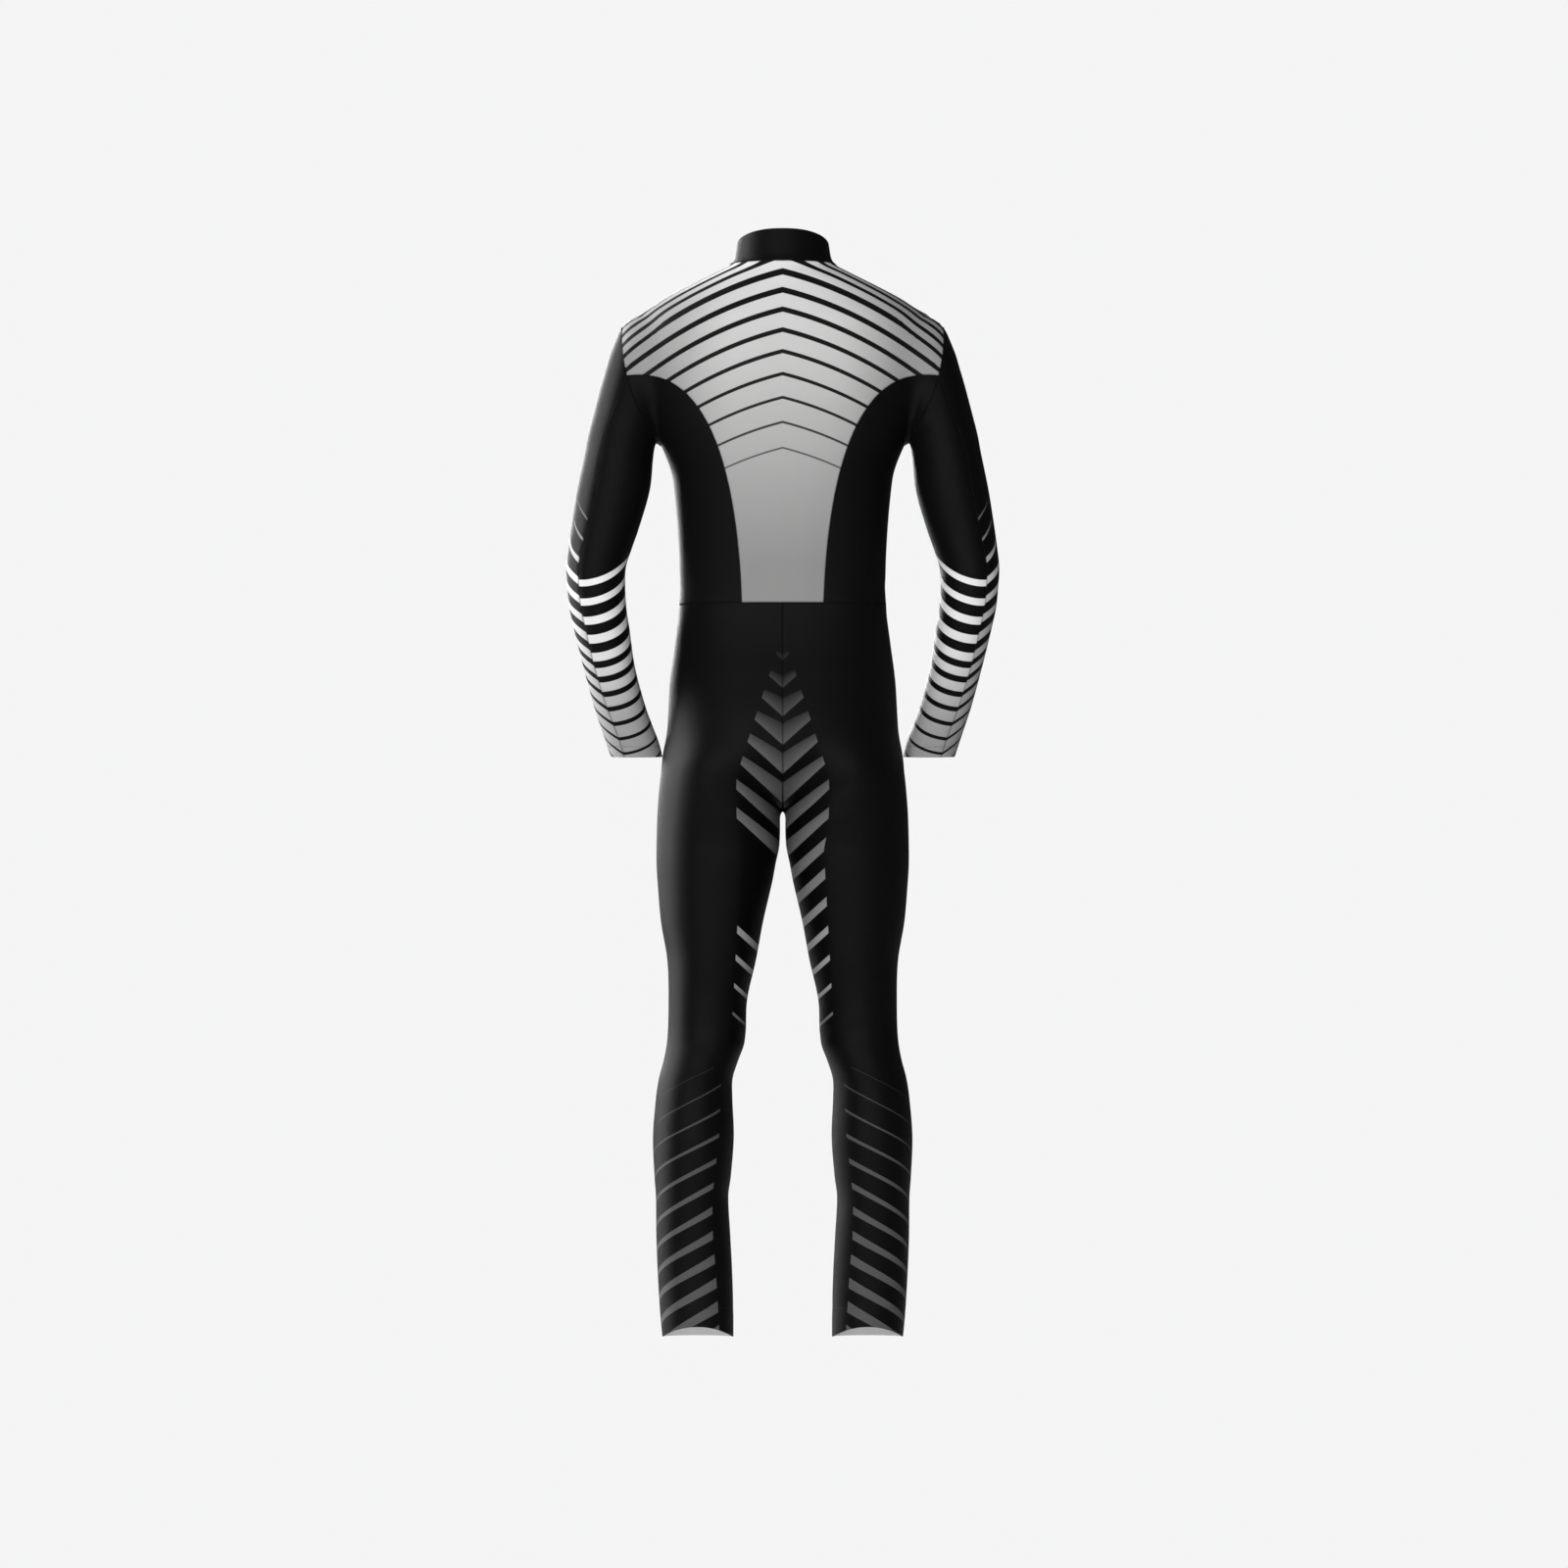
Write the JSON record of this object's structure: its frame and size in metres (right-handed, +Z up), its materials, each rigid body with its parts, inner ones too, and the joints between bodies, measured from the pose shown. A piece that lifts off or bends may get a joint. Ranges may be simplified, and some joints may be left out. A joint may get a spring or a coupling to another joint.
{
  "type": "ski race suit",
  "caption": "Close-fitting one-piece ski race suit with a stand collar, long sleeves and full-length legs, in its worn shape.",
  "frame": {"origin": "middle of the neck opening, level with the collar seam at centre back, where the wearer's neck and shoulders hold the suit up", "axes": "+Z up along the standing wearer, +X to the wearer's right, +Y out of the wearer's front"},
  "size_m": [0.5696, 0.2396, 1.455],
  "materials": {
    "black_knit": "smooth warp knit with a soft satin sheen, printed with grey and white stripes",
    "light_knit": "smooth warp knit with a soft satin sheen, fading from white to mid grey, with dark chevron lines",
    "zip_tape": "woven tape, matt",
    "zip_coil": "nylon coil, half gloss",
    "zip_metal": "black lacquer, worn at the edges"
  },
  "bodies": {
    "suit": {"back_panel": "light_knit", "collar": "black_knit", "side_back_r": "black_knit", "side_back_l": "black_knit", "front_r": "black_knit", "front_l": "black_knit", "leg_back_r": "black_knit", "leg_back_l": "black_knit", "leg_front_r": "black_knit", "leg_front_l": "black_knit", "sleeve_top_r": "black_knit", "sleeve_top_l": "black_knit", "sleeve_under_r": "black_knit", "sleeve_under_l": "black_knit", "zip_tape": "zip_tape", "zip_chain": "zip_coil", "zip_slider": "zip_metal"},
    "pull": {"zip_pull": "zip_metal"}
  },
  "joints": [
    {"name": "pull_swing", "type": "hinge", "parent": "suit", "child": "pull", "pos_m": [0, 0.07499, -0.00474], "axis": [1, 0, 0], "range_deg": [0, 160]}
  ]
}
